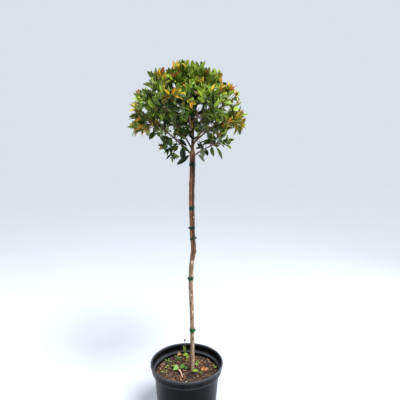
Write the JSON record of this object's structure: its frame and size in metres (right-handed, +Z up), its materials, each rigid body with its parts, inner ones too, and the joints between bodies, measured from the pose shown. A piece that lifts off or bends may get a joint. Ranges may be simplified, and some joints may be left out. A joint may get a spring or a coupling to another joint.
{
  "type": "potted standard lollipop topiary",
  "caption": "Small evergreen shrub trained as a standard: a slender bare trunk with a round, loosely clipped head of glossy leaves, growing in a black plastic nursery pot.",
  "frame": {"origin": "centre of the pot's flat underside", "axes": "+Z up along the trunk, -Y is the plant's front, +X to its right seen from the front"},
  "size_m": [0.3839, 0.3546, 1.2256],
  "materials": {
    "pot": "black moulded nursery pot plastic, low sheen, scuffed",
    "soil": "coarse brown bark compost",
    "bark": "smooth brown bark, pale and knotty low down",
    "twig_bark": "young red-brown bark",
    "leaves": "glossy small evergreen leaves in sprays",
    "tie": "dark green garden tie tape"
  },
  "bodies": {
    "root": {"pot": "pot", "soil": "soil", "trunk": "bark", "tie_1": "tie", "tie_2": "tie", "tie_3": "tie", "tie_4": "tie", "tie_5": "tie", "tie_6": "tie", "bough_left": "twig_bark", "bough_right": "twig_bark", "bough_right_low": "twig_bark", "bough_front": "twig_bark", "bough_back_left": "twig_bark", "bough_back_right": "twig_bark", "bough_upper_left": "twig_bark", "leaves_top": "leaves", "leaves_upper_left": "leaves", "leaves_upper_right": "leaves", "leaves_left": "leaves", "leaves_left_low": "leaves", "leaves_front_left": "leaves", "leaves_front_right": "leaves", "leaves_right": "leaves", "leaves_right_low": "leaves", "leaves_under_left": "leaves", "leaves_under_right": "leaves", "leaves_back_left": "leaves", "leaves_back_right": "leaves", "leaves_back_top": "leaves"}
  },
  "joints": []
}
